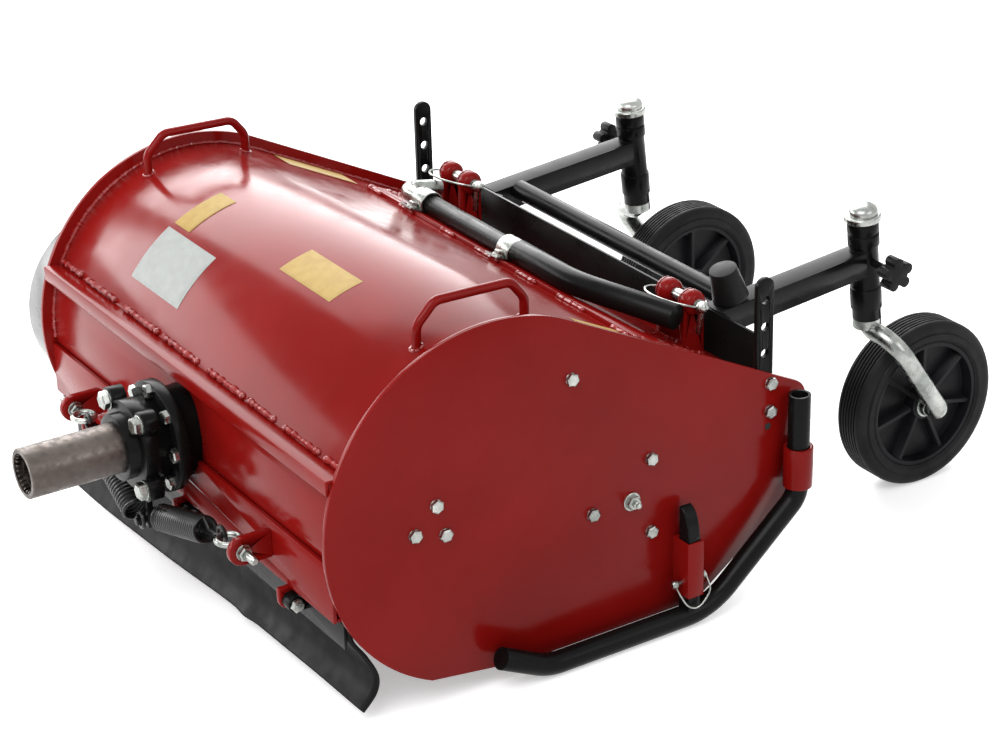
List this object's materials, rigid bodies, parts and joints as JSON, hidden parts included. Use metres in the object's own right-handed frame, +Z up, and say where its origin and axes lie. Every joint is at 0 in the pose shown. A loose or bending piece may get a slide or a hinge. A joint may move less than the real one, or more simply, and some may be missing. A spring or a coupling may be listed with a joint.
{
  "type": "flail mulcher implement for a walk-behind tractor",
  "caption": "Flail mulcher for a walk-behind tractor: round housing, flail rotor, splined spigot hitch with centring springs, rubber rear flap, side skids and front castor wheels.",
  "frame": {"origin": "on the hitch spigot's axis, at the shoulder where the tractor's socket seats", "axes": "+X to the machine's right, +Y ahead from the hitch towards the castor wheels, +Z up"},
  "size_m": [0.6888, 1.02, 0.3943],
  "materials": {
    "red_paint": "glossy powder coat",
    "black_paint": "satin powder coat",
    "grey_paint": "satin paint",
    "rotor_paint": "satin paint",
    "zinc": "bright zinc plate",
    "bare_steel": "machined, lightly oiled",
    "cast_housing": "painted casting",
    "flap_rubber": "matt sheet rubber",
    "cap_rubber": "satin moulded rubber",
    "knob_plastic": "matt moulded plastic",
    "rim_plastic": "matt moulded plastic",
    "tyre": "matt solid rubber"
  },
  "bodies": {
    "housing": {"side_plate_left": "red_paint", "side_plate_right": "red_paint", "shell": "red_paint", "rear_angle_bar": "red_paint", "rear_panel": "red_paint", "inner_baffle": "red_paint", "front_beam": "red_paint", "front_guard": "black_paint", "carry_handles": "red_paint", "front_lugs": "red_paint", "cross_pins": "zinc", "top_rod": "black_paint", "top_rod_bend": "zinc", "top_rod_clamps": "zinc", "height_bars": "black_paint", "belt_cover": "grey_paint", "gearbox": "cast_housing", "rotor_bearings": "cast_housing", "hitch_flange": "black_paint", "spring_left": "black_paint", "spring_right": "black_paint", "spring_eyebolts": "zinc", "panel_lugs": "red_paint", "frame_cross_tube": "black_paint", "frame_stub_caps": "cap_rubber", "castor_knobs": "knob_plastic", "skid_guides": "red_paint", "frame_arm_left": "black_paint", "frame_arm_right": "black_paint"},
    "rotor_body": {"rotor": "rotor_paint"},
    "drive_socket_body": {"drive_socket": "bare_steel"},
    "hitch": {"hitch_collar": "black_paint", "hitch_spigot": "bare_steel"},
    "flap": {"flap_strip": "black_paint", "rubber_flap": "flap_rubber"},
    "castor_left": {"castor_fork_left": "zinc", "castor_cap_left": "zinc"},
    "castor_right": {"castor_fork_right": "zinc", "castor_cap_right": "zinc"},
    "wheel_left": {"tyre_left": "tyre", "rim_left": "rim_plastic"},
    "wheel_right": {"tyre_right": "tyre", "rim_right": "rim_plastic"},
    "skid_left_body": {"skid_left": "black_paint"},
    "skid_right_body": {"skid_right": "black_paint"}
  },
  "joints": [
    {"name": "rotor_spin", "type": "hinge", "parent": "housing", "child": "rotor_body", "pos_m": [0, 0.388, -0.045], "axis": [1, 0, 0], "continuous": true},
    {"name": "drive_spin", "type": "hinge", "parent": "housing", "child": "drive_socket_body", "pos_m": [0, 0.02, 0], "axis": [0, 1, 0], "continuous": true},
    {"name": "hitch_roll", "type": "hinge", "parent": "housing", "child": "hitch", "pos_m": [0, 0.03, 0], "axis": [0, 1, 0], "range_deg": [-10, 10], "stiffness_Nm_per_rad": 20, "deforming": ["spring_left", "spring_right"]},
    {"name": "flap_swing", "type": "hinge", "parent": "housing", "child": "flap", "pos_m": [0, 0.065, -0.085], "axis": [-1, 0, 0], "range_deg": [0, 60]},
    {"name": "castor_left_swivel", "type": "hinge", "parent": "housing", "child": "castor_left", "pos_m": [-0.206, 0.76042, 0.01609], "axis": [0, -0.0958, 0.9954], "continuous": true},
    {"name": "wheel_left_spin", "type": "hinge", "parent": "castor_left", "child": "wheel_left", "pos_m": [-0.206, 0.832, -0.099], "axis": [1, 0, 0], "continuous": true},
    {"name": "skid_left_height", "type": "slide", "parent": "housing", "child": "skid_left_body", "axis": [0, 0, 1], "range_m": [-0.045, 0]},
    {"name": "castor_right_swivel", "type": "hinge", "parent": "housing", "child": "castor_right", "pos_m": [0.206, 0.76042, 0.01609], "axis": [0, -0.0958, 0.9954], "continuous": true},
    {"name": "wheel_right_spin", "type": "hinge", "parent": "castor_right", "child": "wheel_right", "pos_m": [0.206, 0.832, -0.099], "axis": [1, 0, 0], "continuous": true},
    {"name": "skid_right_height", "type": "slide", "parent": "housing", "child": "skid_right_body", "axis": [0, 0, 1], "range_m": [-0.045, 0]}
  ],
  "couplings": [
    {"joint": "drive_spin", "follows": "rotor_spin", "ratio": 0.357}
  ]
}
